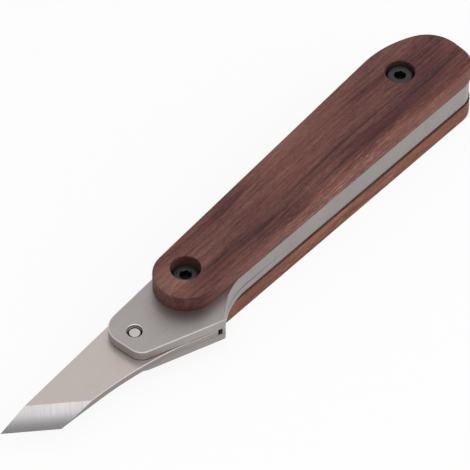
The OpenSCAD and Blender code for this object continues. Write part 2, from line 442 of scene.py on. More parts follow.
def block(low, high):
    """A plain box cutter between two corners."""
    bm = bmesh.new()
    bmesh.ops.create_cube(bm, size=1)
    bmesh.ops.scale(bm, vec=Vector(high) - Vector(low), verts=bm.verts[:])
    slid(bm, (Vector(low) + Vector(high)) / 2)
    return bm


def corner_radius(key):
    """Radius to the corners of a hexagon of a key size."""
    return key / 2 / math.cos(math.pi / 6)


def hexagon(key, low, high, at=(0, 0)):
    """A hexagon prism of a key size."""
    bm = bmesh.new()
    bmesh.ops.create_circle(bm, cap_ends=True, segments=6, radius=corner_radius(key))
    raised(bm, low, high)
    slid(bm, (*at, 0))
    return bm


def as_mesh(bm):
    """A mesh from a bmesh, which is used up."""
    mesh = bpy.data.meshes.new("piece")
    bm.to_mesh(mesh)
    bm.free()
    return mesh


def opened(*meshes):
    """One bmesh from one or more meshes, which are used up."""
    bm = bmesh.new()
    for mesh in meshes:
        bm.from_mesh(mesh)
        bpy.data.meshes.remove(mesh)
    return bm


def in_scene(name, data):
    """A new object of the scene."""
    made = bpy.data.objects.new(name, data)
    bpy.context.scene.collection.objects.link(made)
    return made


def cut(solid_bm, tools, operation="DIFFERENCE"):
    """The mesh of a solid after each tool has been taken out of it."""
    solid = in_scene("bench", as_mesh(solid_bm))
    cutters = [in_scene("bench", as_mesh(tool)) for tool in tools]
    for cutter in cutters:
        step = solid.modifiers.new("cut", "BOOLEAN")
        step.operation = operation
        step.solver = "EXACT"
        step.object = cutter
    graph = bpy.context.evaluated_depsgraph_get()
    mesh = bpy.data.meshes.new_from_object(solid.evaluated_get(graph))
    for used in [solid] + cutters:
        old = used.data
        bpy.data.objects.remove(used)
        bpy.data.meshes.remove(old)
    return mesh


def finish_piece(name, mesh, body, node, finishes, sharp_degrees=SHARP):
    """Scales a mesh to metres, shades it and puts it on its body in place of its node."""
    mesh.name = name
    mesh.transform(Matrix.Scale(MM, 4))
    for finish in finishes:
        mesh.materials.append(finish)
    mesh.shade_smooth()
    mesh.set_sharp_from_angle(angle=math.radians(sharp_degrees))
    piece = in_scene(name, mesh)
    even = piece.modifiers.new("even_shading", "WEIGHTED_NORMAL")
    even.keep_sharp = True
    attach(piece, body)
    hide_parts(node)


# Finish building blocks
def linear(red, green, blue):
    """Scene colour of an 8-bit display colour, by the standard curve of displays."""
    def channel(value):
        share = value / 255
        return share / 12.92 if share <= 0.04045 else ((share + 0.055) / 1.055) ** 2.4
    return channel(red), channel(green), channel(blue), 1.0


def shaded(colour, share):
    """A colour made darker or lighter."""
    return (*(channel * share for channel in colour[:3]), 1.0)


WHITE = (1, 1, 1, 1)


def new_finish(name):
    """An empty node material with its shader."""
    finish = bpy.data.materials.new(name)
    finish.use_nodes = True
    tree = finish.node_tree
    return finish, tree, tree.nodes["Principled BSDF"]


def add(tree, kind, sockets=None, **settings):
    """One shader node, with its settings and with its sockets linked or set."""
    made = tree.nodes.new("ShaderNode" + kind)
    for key, value in settings.items():
        setattr(made, key, value)
    for key, value in (sockets or {}).items():
        if isinstance(value, bpy.types.NodeSocket):
            tree.links.new(value, made.inputs[key])
        else:
            made.inputs[key].default_value = value
    return made


def plain_space(tree, centre=(0, 0, 0), turn=0.0):
    """Object coordinates in millimetres from a centre, turned about z."""
    place = add(tree, "TexCoord").outputs["Object"]
    sockets = {"Vector": place, "Location": [-c for c in centre], "Scale": (1 / MM,) * 3}
    shifted = add(tree, "Mapping", sockets).outputs[0]
    return add(tree, "Mapping", {"Vector": shifted, "Rotation": Euler((0, 0, turn))}).outputs[0]


def stretched(tree, space, scale, shift=(0, 0, 0)):
    """A space stretched for a pattern."""
    return add(tree, "Mapping", {"Vector": space, "Scale": scale, "Location": shift}).outputs[0]


def separate(tree, space):
    """The three coordinates of a space."""
    return add(tree, "SeparateXYZ", {0: space}).outputs


def distance(tree, space):
    """Distance from a space's middle."""
    return add(tree, "VectorMath", {0: space}, operation="LENGTH").outputs["Value"]


def calc(tree, operation, a, b=0.0):
    """One sum on one or two values."""
    return add(tree, "Math", {0: a, 1: b}, operation=operation).outputs[0]


def times(tree, a, b):
    """Two values multiplied."""
    return calc(tree, "MULTIPLY", a, b)


def plus(tree, total, value, gain):
    """A total with a share of a value added."""
    return add(tree, "Math", {0: value, 1: gain, 2: total}, operation="MULTIPLY_ADD").outputs[0]


def spread(tree, value, low, high, to_low=0.0, to_high=1.0):
    """A value's range, smoothly mapped to another range."""
    sockets = {"Value": value, "From Min": low, "From Max": high, "To Min": to_low, "To Max": to_high}
    return add(tree, "MapRange", sockets, interpolation_type="SMOOTHSTEP").outputs[0]


def ramp(tree, value, stops):
    """Colours along a value, from (place, colour) pairs."""
    made = add(tree, "ValToRGB", {"Fac": value})
    band = made.color_ramp
    while len(band.elements) < len(stops):
        band.elements.new(0.5)  # its place is set below
    for element, (place, colour) in zip(band.elements, stops):
        element.position = place
        element.color = colour
    return made.outputs["Color"]


# Where a finish's pattern is at its darkest and at its lightest
TONE_RANGE = (0.3, 0.7)


def two_tone(tree, tone, colour, darker, lighter):
    """A colour that goes from a darker to a lighter shade along a tone."""
    shades = [shaded(colour, share) for share in (darker, lighter)]
    return ramp(tree, tone, list(zip(TONE_RANGE, shades)))


def mixed(tree, share, a, b, blend="MIX"):
    """Two colours mixed. Sockets 6 and 7 and output 2 are the node's colours."""
    return add(tree, "Mix", {0: share, 6: a, 7: b}, data_type="RGBA", blend_type=blend).outputs[2]


def dimmed(tree, share, colour, shade):
    """A colour multiplied by a shade where a share says so."""
    return mixed(tree, share, colour, shaded(WHITE, shade), "MULTIPLY")


def surfaced(tree, shader, colour, roughness, metallic=0.0):
    """Gives a shader its colour, roughness and share of metal."""
    tree.links.new(colour, shader.inputs["Base Color"])
    tree.links.new(roughness, shader.inputs["Roughness"])
    shader.inputs["Metallic"].default_value = metallic


def bumped(tree, shader, height, depth_mm, strength):
    """Relief of a depth in millimetres on a shader."""
    relief = add(tree, "Bump", {"Height": height, "Distance": depth_mm * MM, "Strength": strength})
    tree.links.new(relief.outputs[0], shader.inputs["Normal"])


# Patterns of noise as (repeats for each millimetre, place or None for the piece's own, detail, roughness)
PATTERNS = {
    "wander": ((0.012, 0.06, 0.06), None, 1.0, 0.5),
    "broad": ((0.012, 0.2, 0.2), None, 2.0, 0.5),
    "streak": ((0.022, 1.0, 1.0), None, 4.0, 0.6),
    "fibre": ((0.17, 3.4, 3.4), None, 3.0, 0.7),
    "speckle": ((0.75, 3.0, 3.0), (3.0, 13.0, 5.0), 2.0, 0.6),
    "blush": ((0.02, 0.3, 0.3), (9.0, 4.0, 1.0), 2.0, 0.5),
    "pores": ((0.26, 4.2, 4.2), None, 1.0, 0.5),
    "flecks": ((0.4, 3.2, 3.2), (31.0, 7.0, 3.0), 1.0, 0.5),
    "rays": ((0.07, 1.7, 1.7), (40.0, 3.0, 8.0), 3.0, 0.65),
    "long_lines": ((0.05, 6.0, 6.0), None, 4.0, 0.75),
    "edge_lines": ((0.3, 4.0, 4.0), None, 4.0, 0.75),
    "flat_lines": ((0.2, 2.2, 2.2), None, 4.0, 0.75),
    "bevel_lines": ((7.0, 0.05, 0.05), None, 4.0, 0.75),
    "clouds": ((0.12, 0.12, 0.12), (5.0, 2.0, 9.0), 3.0, 0.5),
    "bore_grit": ((0.5, 0.5, 2.0), (2.0, 7.0, 1.0), 2.0, 0.5),
    "turned_grit": ((3.0, 3.0, 3.0), None, 3.0, 0.5),
}


def noise(tree, space, pattern, shift=(0, 0, 0)):
    """One of the patterns, at its own place or shifted with the piece."""
    scale, place, detail, roughness = PATTERNS[pattern]
    local = stretched(tree, space, scale, place or shift)
    sockets = {"Vector": local, "Scale": 1.0, "Detail": detail, "Roughness": roughness}
    return add(tree, "TexNoise", sockets).outputs


# Patches are soft ovals as (x, y, half length, half width, turn in degrees, strength), at any height
PATCH_FADE = (1.25, 0.1)
PATCH_MOST = 1.2
ANY_HEIGHT = 1e6


def patch_mask(tree, space, patches):
    """How strongly patches show at a point."""
    total = 0.0
    for x, y, half_length, half_width, degrees, strength in patches:
        sockets = {
            "Vector": space, "Location": (x, y, 0), "Rotation": Euler((0, 0, math.radians(degrees))),
            "Scale": (half_length, half_width, ANY_HEIGHT),
        }
        local = add(tree, "Mapping", sockets, vector_type="TEXTURE").outputs[0]
        shown = spread(tree, distance(tree, local), *PATCH_FADE, 0.0, strength)
        total = calc(tree, "ADD", total, shown)
    return calc(tree, "MINIMUM", total, PATCH_MOST)


def round_mask(tree, space, at, inner, outer):
    """1 within a radius of an upright axis and 0 beyond a larger one."""
    local = stretched(tree, space, (1, 1, 0), (-at[0], -at[1], 0))
    return spread(tree, distance(tree, local), outer, inner)


# Wood
# Patches of dark heartwood on the upper scale, and of paler wood where the strength is below 0
HEART_PATCHES = [
    (-5.5, 1.5, 9.0, 6.5, 0.0, -0.75),
    (12.0, -4.4, 17.0, 2.6, -2.0, 0.75),
    (2.0, -6.2, 8.0, 2.4, 0.0, 0.45),
    (27.0, -6.3, 13.0, 3.0, -2.0, 0.85),
    (22.0, 0.5, 14.0, 3.5, 0.0, 0.35),
    (52.0, -3.4, 19.0, 1.5, 0.0, 0.5),
    (66.0, -6.6, 16.0, 3.2, 0.0, 0.85),
    (84.0, -6.6, 20.0, 3.6, 1.0, 1.0),
    (50.0, 3.0, 16.0, 5.0, 0.0, -0.3),
    (100.0, -1.5, 14.0, 7.0, 1.0, 0.75),
    (22.0, 8.0, 12.0, 1.7, 2.0, 0.9),
    (82.0, 6.0, 15.0, 4.5, 0.0, 0.6),
    (8.0, 8.6, 8.0, 0.9, 2.0, 0.2),
    (84.0, -12.6, 26.0, 2.6, 0.0, -0.6),
    (50.0, 10.0, 17.0, 2.6, 1.5, -0.6),
]
# Paler stretches of the lower scale; the one at the front of its finger side is partly paler wood and
# partly a painted highlight
PALE_PATCHES = [(84.0, -11.0, 40.0, 8.0, 0.0, -0.5), (6.0, -9.3, 7.0, 5.0, 0.0, -1.0)]
HEART_GAIN = -0.18
HEART_RAGGED = (0.35, 0.65, 1.15, 0.8)

# How far the grain sways across its length, in millimetres, and the layers that sway with it
SWAY = (0, 6, 3)
NOISE_MIDDLE = (0.5, 0.5, 0.5)
SWAYING = ("broad", "streak", "fibre", "speckle", "blush", "pores", "flecks")

# Tone of the wood: where it starts, what the layers add to it, and the places of its colours
TONE_START = -0.245
TONE_SHARES = [("broad", 0.3), ("streak", 0.48), ("fibre", 0.42), ("speckle", 0.3)]
TONE_STOPS = [(0.25, "dark"), (0.38, "deep"), (0.53, "mid"), (0.7, "light"), (0.92, "pale")]
BLUSH_SPREAD = (0.5, 0.72, 0.0, 0.35)
PORE_RANGE = (0.6, 0.72)
PORE_SHARE = 0.45
FLECK_RANGE = (0.6, 0.74)
FLECK_SHARE = 0.12

# The finger side's rim: where it starts and is full, along y, and its painted shade and warmth, a tone set
# for how light falls on that side
RIM_BAND = (-7.5, -10.0)
RIM_PAINTED_SHADE = -0.03
RIM_PAINTED_WARMTH = 0.22
# Pale rays on that rim: where they are faint and full, from each end, along x; they are real pale streaks,
# made fuller midway as painted sheen
RAY_FADES = [(18.0, 34.0), (80.0, 62.0)]
RAY_FAINT = 0.35
RAY_MIDDLE = 0.43
RAY_GAIN = 1.3
# Share of pale flecks on that rim, which follow the rays and so are fuller midway as painted sheen
FLECK_SHEEN_SHARE = 0.55

# Darker ends, partly end grain and partly painted shade on the front face and the sides near it: where it
# starts and is full, along x, at the front and at the butt, and along z
END_GRAIN_AND_SHADE = [(2.0, -6.0), (SCREW_SPAN + 11, SCREW_SPAN + 17)]
END_GRAIN_AND_SHADE_Z = (TOP_Z - 0.05, TOP_Z - 0.4)
END_GRAIN_AND_SHADE_GAIN = -0.12

# Painted shade in the joint beside the steel as (height where it starts, height where it is full, share),
# and painted shade in the wells
UPPER_JOINT_SHADE = (UPPER_SCALE_Z + 0.5, UPPER_SCALE_Z + 0.05, 0.45)
LOWER_JOINT_SHADE = (LOWER_PLATE_Z - LOWER_EASE - 0.32, LOWER_PLATE_Z - LOWER_EASE - 0.02, 0.75)
JOINT_SHADE_COLOUR = linear(30, 19, 15)
SHADED_WELLS = [(FRONT_SCREW_AT, 0.6), (REAR_SCREW_AT, 0.75)]
WELL_SHADE_REACH = (WELL_R + 0.05, WELL_R + 0.35)
WELL_SHADE_COLOUR = linear(43, 34, 32)

# Oiled surface: gloss, roughness along the fibre, and relief
WOOD_GLOSS = 0.13
WOOD_ROUGHNESS = (0.66, 0.52)
FIBRE_RELIEF = 0.5
PORE_RELIEF = -1.0
WOOD_RELIEF_MM = 0.05
WOOD_RELIEF = 0.6

UPPER_WOOD = {
    "dark": linear(56, 36, 38),
    "deep": linear(78, 49, 48),
    "mid": linear(107, 71, 65),
    "light": linear(132, 94, 84),
    "red": linear(118, 68, 64),
    "warm": linear(126, 72, 60),
    "pale": linear(174, 135, 121),
}
LOWER_WOOD = {
    "dark": linear(64, 36, 28),
    "deep": linear(86, 50, 39),
    "mid": linear(108, 67, 52),
    "light": linear(136, 90, 72),
    "red": linear(120, 66, 50),
    "warm": linear(118, 72, 56),
    "pale": linear(162, 114, 92),
}
UPPER_GRAIN_AT = (0.0, 0.0, 0.0)
LOWER_GRAIN_AT = (17.0, 5.0, 11.0)


def rosewood(name, colours, shift, patches, joint_shade, shaded_wells):
    """Oiled dark wood with straight grain, with painted shade in the joint beside the steel and in its
    wells.
    """
    finish, tree, shader = new_finish(name)
    space = plain_space(tree)
    place = separate(tree, space)
    wander = noise(tree, space, "wander", shift)["Color"]
    bend = add(tree, "VectorMath", {0: wander, 1: NOISE_MIDDLE}, operation="SUBTRACT").outputs[0]
    sway = add(tree, "VectorMath", {0: bend, 1: SWAY, 2: space}, operation="MULTIPLY_ADD").outputs[0]
    layers = {layer: noise(tree, sway, layer, shift)["Fac"] for layer in SWAYING}
    pores = spread(tree, layers["pores"], *PORE_RANGE)
    flecks = spread(tree, layers["flecks"], *FLECK_RANGE)

    tone = TONE_START
    for layer, share in TONE_SHARES:
        tone = plus(tree, tone, layers[layer], share)
    ragged = spread(tree, layers["streak"], *HEART_RAGGED)
    patch_tone = times(tree, patch_mask(tree, sway, patches), ragged)
    tone = plus(tree, tone, patch_tone, HEART_GAIN)
    # Painted shade on the finger side's rim, and its pale rays, fuller midway as painted sheen
    near_rim = spread(tree, place["Y"], *RIM_BAND)
    tone = plus(tree, tone, near_rim, RIM_PAINTED_SHADE)
    rays_and_sheen = near_rim
    for faint_x, full_x in RAY_FADES:
        rays_and_sheen = times(tree, rays_and_sheen, spread(tree, place["X"], faint_x, full_x, RAY_FAINT, 1.0))
    rays = calc(tree, "SUBTRACT", noise(tree, space, "rays")["Fac"], RAY_MIDDLE)
    tone = plus(tree, tone, times(tree, rays, rays_and_sheen), RAY_GAIN)
    # Darker ends: end grain, and painted shade on the front face and the sides near it
    below_rim = spread(tree, place["Z"], *END_GRAIN_AND_SHADE_Z)
    for clear_x, full_x in END_GRAIN_AND_SHADE:
        end_grain_and_shade = times(tree, spread(tree, place["X"], clear_x, full_x), below_rim)
        tone = plus(tree, tone, end_grain_and_shade, END_GRAIN_AND_SHADE_GAIN)

    colour = ramp(tree, tone, [(stop, colours[shade]) for stop, shade in TONE_STOPS])
    colour = mixed(tree, spread(tree, layers["blush"], *BLUSH_SPREAD), colour, colours["red"])
    colour = mixed(tree, times(tree, pores, PORE_SHARE), colour, colours["dark"])
    colour = mixed(tree, times(tree, flecks, FLECK_SHARE), colour, colours["light"])
    # Painted warmth on the finger side's rim, then pale flecks there, fuller midway as painted sheen
    colour = mixed(tree, times(tree, near_rim, RIM_PAINTED_WARMTH), colour, colours["warm"])
    flecks_and_sheen = times(tree, flecks, times(tree, rays_and_sheen, FLECK_SHEEN_SHARE))
    colour = mixed(tree, flecks_and_sheen, colour, colours["pale"])
    clear_z, shaded_z, joint_shade_share = joint_shade
    # Painted shade in the joint beside the steel
    joint_shade_mask = spread(tree, place["Z"], clear_z, shaded_z, 0.0, joint_shade_share)
    colour = mixed(tree, joint_shade_mask, colour, JOINT_SHADE_COLOUR)
    # Painted shade in the screws' wells
    for at, share in shaded_wells:
        well_shade = times(tree, round_mask(tree, space, at, *WELL_SHADE_REACH), share)
        colour = mixed(tree, well_shade, colour, WELL_SHADE_COLOUR)
    surfaced(tree, shader, colour, spread(tree, layers["fibre"], *TONE_RANGE, *WOOD_ROUGHNESS))
    shader.inputs["Specular IOR Level"].default_value = WOOD_GLOSS
    relief = plus(tree, times(tree, layers["fibre"], FIBRE_RELIEF), pores, PORE_RELIEF)
    bumped(tree, shader, relief, WOOD_RELIEF_MM, WOOD_RELIEF)
    return finish


upper_wood = rosewood("upper_rosewood", UPPER_WOOD, UPPER_GRAIN_AT, HEART_PATCHES, UPPER_JOINT_SHADE, SHADED_WELLS)
lower_wood = rosewood("lower_rosewood", LOWER_WOOD, LOWER_GRAIN_AT, PALE_PATCHES, LOWER_JOINT_SHADE, [])

# Steel
# Fine lines of the grinding belt and cloudy stains: shares of the tone, relief and contrasts
LINE_SHARE = 0.7
CLOUD_SHARE = 0.3
LINE_RELIEF_MM = 0.012
LINE_RELIEF = 0.5
PLATE_CONTRAST = 0.09
FLAT_CONTRAST = 0.04
BEVEL_CONTRAST = 0.13
# Roughness of the darkest and of the lightest steel, as shares of a finish's own
STEEL_ROUGHNESS = (1.15, 0.87)

# The bevel has painted shade towards the cutting edge, from where that starts to where it is full, behind
# the edge
BEVEL_PAINTED_SHADE = 0.6
BEVEL_SHADE_START = 4.6
BEVEL_SHADE_FULL = 0.2

# Painted light and shade on the steel as (patches, shade, (height where it starts, height where it is
# full)), darker below a shade of 1 and lighter above it
HEAD_TOP = (UPPER_SCALE_Z - 1.0, UPPER_SCALE_Z - 0.5)
HEAD_SIDE = (PARTING_Z + 1.5, BLADE_TOP_Z)
# Painted shade and reflection of the wood on the head's top, painted shadow of the wood on the flare's
# edge, painted light on the head's side, painted shade on the nose's corner
PAINTED_HEAD_SHADE = ([(-9.5, -4.5, 8.5, 9.0, 40.0, 1.0)], 0.74, HEAD_TOP)
PAINTED_FLARE_SHADOW = ([(4.0, -10.5, 11.0, 6.0, 20.0, 1.3)], 0.42, HEAD_TOP)
PAINTED_SIDE_LIGHT = ([(-10.0, -12.9, 13.0, 4.0, -23.0, 1.0)], 1.17, HEAD_SIDE)
PAINTED_CORNER_SHADE = ([(-25.0, -6.3, 4.5, 3.5, -40.0, 1.0)], 0.8, HEAD_SIDE)
# Painted shadow of the nose on the blade's flat, and on the tang's side a painted shadow line, painted
# light and a painted highlight
PAINTED_NOSE_SHADOW = ([(0.1 - NOSE_REACH, -0.5, 6.0, 1.1, 90.0, 1.0)], 0.7, HEAD_SIDE)
TANG_SIDE = [(-10.0, -12.0, 8.5, 1.8, -21.0, 1.2)]
PAINTED_TANG_SHADOW = (TANG_SIDE, 0.25, (BLADE_TOP_Z - 0.2, BLADE_TOP_Z - 0.14))
PAINTED_TANG_LIGHT = (TANG_SIDE, 1.18, (PARTING_Z - 1.0, PARTING_Z))
PAINTED_TANG_HIGHLIGHT = (TANG_SIDE, 1.8, (BLADE_TOP_Z - 0.65, BLADE_TOP_Z - 0.4))

# Painted shade of the parting line: a shade beside it that fades along x, and more of it in the guard's
# hollow, as (distance where it is gone, distance where it is full, shares there)
SEAM_SHADE_COLOUR = linear(52, 48, 46)
SEAM_SHADE = (0.6, 0.05, 0.0, 0.25)
SEAM_FADE = (SWEEP_START + 30, SWEEP_START)
SEAM_HOLLOW_SHADE = (0.32, 0.12, 0.0, 0.6)
# Where the hollow's painted shade is clear and full, along x, at either end
SEAM_HOLLOW = [(-3.4, -2.4), (SWEEP_START + 12, SWEEP_START)]


def painted_seam_shade(tree, shown, seam_z):
    """A colour with painted shade in a seam at a height."""
    place = separate(tree, plain_space(tree))
    off_seam = calc(tree, "ABSOLUTE", calc(tree, "SUBTRACT", place["Z"], seam_z))
    beside = times(tree, spread(tree, off_seam, *SEAM_SHADE), spread(tree, place["X"], *SEAM_FADE))
    shown = mixed(tree, beside, shown, SEAM_SHADE_COLOUR)
    # Painted shade in the guard's hollow
    hollow_shade = spread(tree, off_seam, *SEAM_HOLLOW_SHADE)
    for clear_x, full_x in SEAM_HOLLOW:
        hollow_shade = times(tree, hollow_shade, spread(tree, place["X"], clear_x, full_x))
    return mixed(tree, hollow_shade, shown, SEAM_SHADE_COLOUR)


def satin_steel(
    name, colour, line_pattern, roughness, line_turn=0.0, contrast=PLATE_CONTRAST, seam_z=None, bevel_shade=None,
    painted_light=(),
):
    """Ground steel with fine lines along one way, cloudy stains, and painted shade in a seam at one
    height.

    It has painted shade towards one edge, from one place to another across its lines, and patches of
    painted shade where other pieces shade it, and of painted light and highlights where light falls on it.
    """
    finish, tree, shader = new_finish(name)
    space = plain_space(tree, turn=line_turn)
    lines = noise(tree, space, line_pattern)["Fac"]
    clouds = noise(tree, space, "clouds")["Fac"]
    tone = calc(tree, "ADD", times(tree, lines, LINE_SHARE), times(tree, clouds, CLOUD_SHARE))
    shown = two_tone(tree, tone, colour, 1 - contrast, 1 + contrast)
    if seam_z:
        shown = painted_seam_shade(tree, shown, seam_z)
    # Painted shade towards the cutting edge
    if bevel_shade:
        shown = dimmed(tree, spread(tree, separate(tree, space)["Y"], *bevel_shade), shown, BEVEL_PAINTED_SHADE)
    # Patches of painted light and shade
    for patches, shade, heights in painted_light:
        unturned = plain_space(tree)
        painted_height = spread(tree, separate(tree, unturned)["Z"], *heights)
        painted_share = times(tree, patch_mask(tree, unturned, patches), painted_height)
        shown = dimmed(tree, painted_share, shown, shade)
    uneven = [roughness * share for share in STEEL_ROUGHNESS]
    surfaced(tree, shader, shown, spread(tree, tone, *TONE_RANGE, *uneven), metallic=1.0)
    bumped(tree, shader, lines, LINE_RELIEF_MM, LINE_RELIEF)
    return finish


plate_steel = satin_steel(
    "plate_satin_steel", linear(160, 154, 153), "long_lines", roughness=0.4, painted_light=[PAINTED_HEAD_SHADE],
)
# The plates' sides take a slightly darker copy of the top's steel, which is painted shade
plate_rim_steel = satin_steel(
    "plate_rim_steel", linear(152, 147, 144), "long_lines", roughness=0.38, seam_z=PARTING_Z,
    painted_light=[PAINTED_SIDE_LIGHT, PAINTED_CORNER_SHADE],
)
# The broken top edges take a lighter steel, a painted highlight
highlit_edge_steel = satin_steel(
    "plate_highlit_edge_steel", linear(190, 183, 181), "edge_lines", roughness=0.3, painted_light=[PAINTED_FLARE_SHADOW],
)
flat_steel = satin_steel(
    "blade_flat_steel", linear(187, 178, 173), "flat_lines", roughness=0.34, contrast=FLAT_CONTRAST,
    painted_light=[PAINTED_NOSE_SHADOW, PAINTED_TANG_SHADOW],
)
rim_steel = satin_steel(
    "blade_rim_steel", linear(144, 137, 135), "long_lines", roughness=0.4, painted_light=[PAINTED_TANG_LIGHT, PAINTED_TANG_HIGHLIGHT],
)

# The window's bore: where its painted shade is full and where its painted reflection is full, over and
# under the band of reflection, from the plate's face
REFLECTION_BAND = [(-0.5, -0.7), (-1.25, -1.1)]
REFLECTION_SPREAD = (0.3, 0.6, 0.4, 1.0)
BORE_SHADE_COLOUR = linear(34, 30, 28)
BORE_REFLECTION_COLOUR = linear(226, 219, 215)
BORE_ROUGHNESS = (0.5, 0.4)
BORE_METALLIC = 0.3


def window_bore_steel():
    """The bore of the pin's window, painted dark as shade, with a band of painted reflection round its
    middle.
    """
    finish, tree, shader = new_finish("window_bore_steel")
    space = plain_space(tree, centre=(*BLADE_PIN_AT, UPPER_SCALE_Z))
    depth = separate(tree, space)["Z"]
    grit = noise(tree, space, "bore_grit")["Fac"]
    reflection_share = spread(tree, grit, *REFLECTION_SPREAD)
    for shade_z, reflection_z in REFLECTION_BAND:
        reflection_share = times(tree, reflection_share, spread(tree, depth, shade_z, reflection_z))
    # Painted shade with a band of painted reflection
    colour = mixed(tree, reflection_share, BORE_SHADE_COLOUR, BORE_REFLECTION_COLOUR)
    surfaced(tree, shader, colour, spread(tree, grit, *TONE_RANGE, *BORE_ROUGHNESS), BORE_METALLIC)
    return finish


bore_steel = window_bore_steel()

# Turned metal: grit, shades, rings, and the painted shade at the bottom of a socket
GRIT_SHADES = (0.8, 1.15)
GRIT_ROUGHNESS = (-0.05, 0.07)
RING_SHARE = 0.12
RING_RELIEF = 0.6
PIT_FADE = 0.12
PIT_CLEAR = 0.15
PIT_FULL = 0.5
PIT_SHADE_COLOUR = linear(9, 9, 9)


def ringed_metal(name, at, colour, roughness, ring_mm, ring_depth, metallic, pit=None):
    """Turned metal with fine rings. A pit is (radius, height) of the mouth of a hole with painted shade
    inside it.
    """
    finish, tree, shader = new_finish(name)
    space = plain_space(tree, centre=(*at, 0))
    far = distance(tree, stretched(tree, space, (1, 1, 0)))
    rings = calc(tree, "SINE", times(tree, far, TURN / ring_mm))
    grit = noise(tree, space, "turned_grit")["Fac"]
    tone = calc(tree, "ADD", times(tree, rings, RING_SHARE), grit)
    shown = two_tone(tree, tone, colour, *GRIT_SHADES)
    # Painted shade at the bottom of the socket
    if pit:
        pit_r, pit_z = pit
        within = spread(tree, far, pit_r + PIT_FADE, pit_r)
        below = spread(tree, separate(tree, space)["Z"], pit_z - PIT_CLEAR, pit_z - PIT_FULL)
        shown = mixed(tree, times(tree, within, below), shown, PIT_SHADE_COLOUR)
    uneven = [roughness + more for more in GRIT_ROUGHNESS]
    surfaced(tree, shader, shown, spread(tree, grit, *TONE_RANGE, *uneven), metallic)
    bumped(tree, shader, rings, ring_depth, RING_RELIEF)
    return finish


# Wooden scales
def scale_slab(low, high, outer_z, outer_round, inner_z, inner_ease):
    """A scale with its outer rim rounded and its rim beside the steel beveled."""
    slab = raised(outline_face(scale_stops()), low, high)
    eased(slab, outer_z, outer_round, ROUNDED)
    eased(slab, inner_z, inner_ease, BEVELED)
    return slab


upper_slab = scale_slab(UPPER_SCALE_Z, TOP_Z, TOP_Z, UPPER_ROUND, UPPER_SCALE_Z, UPPER_EASE)
wells = [drill(at, WELL_R, UPPER_SCALE_Z - PAST, TOP_Z, WELL_EASE) for at in SCREWS_AT]
upper_scale = cut(upper_slab, wells)
finish_piece("upper_scale_wood", upper_scale, "upper_half", "upper_scale", [upper_wood])

lower_slab = scale_slab(REST_Z, LOWER_PLATE_Z, REST_Z, LOWER_ROUND, LOWER_PLATE_Z, LOWER_EASE)
pockets = [hexagon(NUT_KEY + NUT_ROOM, NUT_Z - NUT_SINK, LOWER_PLATE_Z + PAST, at) for at in SCREWS_AT]
pockets += [drill(at, HOLE_R, THREAD_END_Z - THREAD_ROOM, LOWER_PLATE_Z + PAST) for at in SCREWS_AT]
lower_scale = cut(lower_slab, pockets)
finish_piece("lower_scale_wood", lower_scale, "lower_half", "lower_scale", [lower_wood])

# Steel plates
# Finishes of a plate's faces, and the z of the normals of upright faces, broken edges and sides
ON_FACE, ON_RIM, ON_EDGE, IN_BORE = range(4)
UPRIGHT = 0.1
BREAK_TILT = (0.1, 0.97)
SIDE_TILT = 0.8


def plate_slab(low, high, low_break, high_break):
    """A steel plate with its rims broken."""
    slab = raised(outline_face(plate_stops()), low, high)
    eased(slab, high, high_break, BROKEN)
    eased(slab, low, low_break, BROKEN)
    return slab


def over_pocket(face):
    """True for an upright face over the ceiling of the blade's pocket."""
    return abs(face.normal.z) < UPRIGHT and face.calc_center_median().z > POCKET_TOP_Z


def pocket_rim_broken(mesh):
    """The upper plate with its pocket's rim broken, so that a fine dark line shows over the blade."""
    bm = opened(mesh)
    rim_edges = [
        edge for edge in bm.edges
        if lies_at(edge, POCKET_TOP_Z) and any(over_pocket(face) for face in edge.link_faces)
    ]
    broken(bm, rim_edges, POCKET_BREAK, BEVELED, clamp=True)
    return as_mesh(bm)


def plate_finish(face, has_window):
    """Which of a plate's finishes a face takes."""
    tilt = face.normal.z
    off_pin = (face.center.xy - Vector(BLADE_PIN_AT)).length
    if has_window and abs(tilt) < UPRIGHT and off_pin < WINDOW_R + HAIR:
        return IN_BORE
    if BREAK_TILT[0] < tilt < BREAK_TILT[1] and face.center.z > UPPER_SCALE_Z - PLATE_BREAK:
        return ON_EDGE
    return ON_RIM if abs(tilt) < SIDE_TILT else ON_FACE


def finish_plate(name, mesh, body, node, finishes):
    """A plate with its rim's own finish, a painted highlight on its broken top edge, and painted shade and
    reflection in its window.
    """
    for face in mesh.polygons:
        face.material_index = plate_finish(face, len(finishes) > IN_BORE)
    finish_piece(name, mesh, body, node, finishes)


THROUGH_UPPER = (PARTING_Z - PAST, UPPER_SCALE_Z + PAST)
upper_tools = [
    block((-POCKET_REACH, -POCKET_REACH, PARTING_Z - PAST), (POCKET_WALL, POCKET_REACH, POCKET_TOP_Z)),
    window_drill(BLADE_PIN_AT, WINDOW_R, PARTING_Z, UPPER_SCALE_Z, WINDOW_ROUND),
    drill(FRONT_SCREW_AT, HOLE_R, PARTING_Z - PAST, UPPER_SCALE_Z),
    drill(FRONT_SCREW_AT, HEAD_R + HEAD_ROOM, FRONT_SEAT_Z, UPPER_SCALE_Z + PAST),
    drill(REAR_SCREW_AT, HOLE_R, *THROUGH_UPPER),
    drill(FRONT_DOWEL_AT, PIN_R + FIT, *THROUGH_UPPER),
    drill(REAR_DOWEL_AT, PIN_R + FIT, *THROUGH_UPPER),
]
upper_plate = cut(plate_slab(PARTING_Z, UPPER_SCALE_Z, SEAM_BREAK, PLATE_BREAK), upper_tools)
upper_plate = pocket_rim_broken(upper_plate)
plate_finishes = [plate_steel, plate_rim_steel, highlit_edge_steel]
finish_plate("upper_plate_steel", upper_plate, "upper_half", "upper_plate", plate_finishes + [bore_steel])

